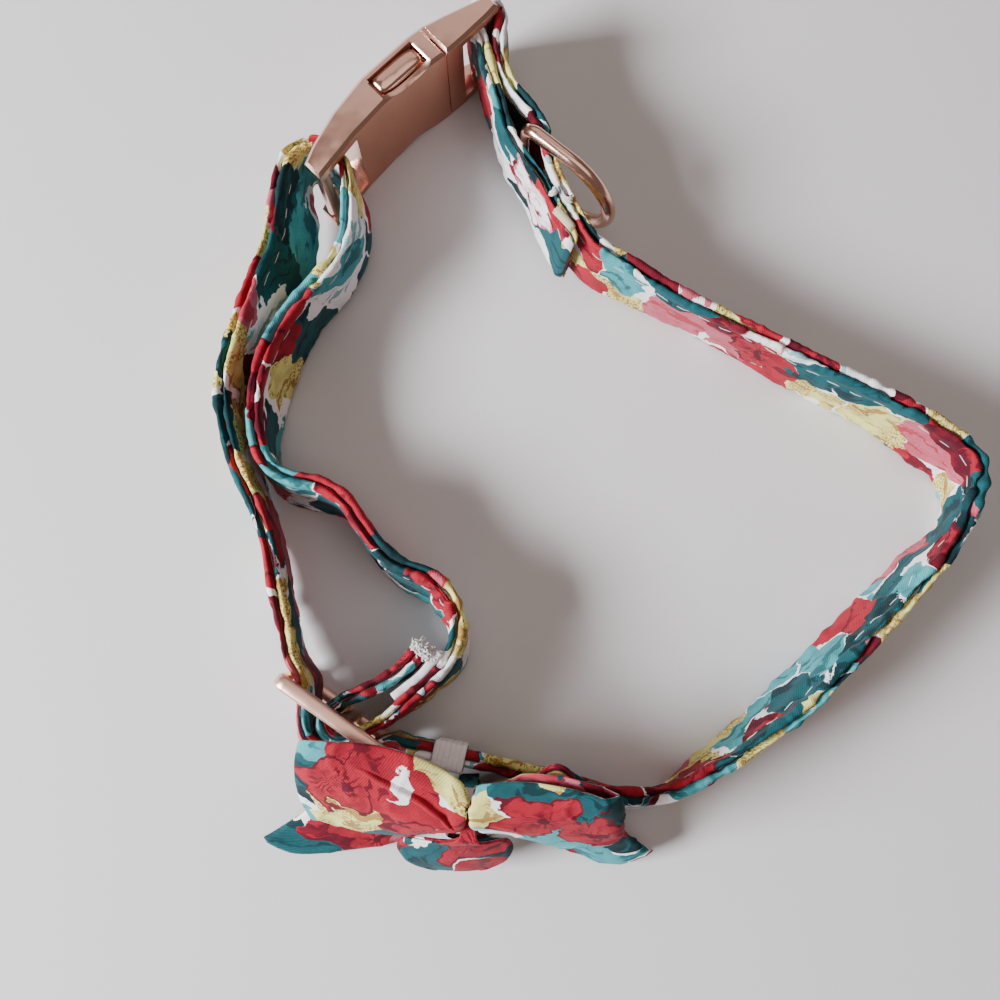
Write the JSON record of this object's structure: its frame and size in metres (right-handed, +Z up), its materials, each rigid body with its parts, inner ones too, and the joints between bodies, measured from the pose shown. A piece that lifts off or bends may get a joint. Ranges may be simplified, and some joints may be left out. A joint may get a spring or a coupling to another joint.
{
  "type": "dog collar",
  "caption": "Adjustable fabric dog collar in a floral print, with a polished side-release buckle, slider, D-ring and a bow tie held on by an elastic loop.",
  "frame": {"origin": "centre of the collar's footprint, on the surface it stands on", "axes": "+Z up across the strap's width, +Y from the bow towards the buckle, +X towards the loop's far corner"},
  "size_m": [0.196, 0.2253, 0.047],
  "materials": {
    "cotton_print": "printed cotton twill",
    "rose_gold": "mirror-polished rose-gold plating",
    "elastic": "ribbed woven elastic"
  },
  "bodies": {
    "collar": {"strap": "cotton_print", "buckle_female": "rose_gold", "buckle_male": "rose_gold", "slider": "rose_gold", "bow_front": "cotton_print", "bow_back": "cotton_print", "bow_knot": "cotton_print", "elastic_loop": "elastic"},
    "d_ring": {"d_ring": "rose_gold"}
  },
  "joints": [
    {"name": "d_ring_swing", "type": "hinge", "parent": "collar", "child": "d_ring", "pos_m": [-0.0178, 0.075, 0.0167], "axis": [0, 0, 1], "range_deg": [0, 115]}
  ]
}
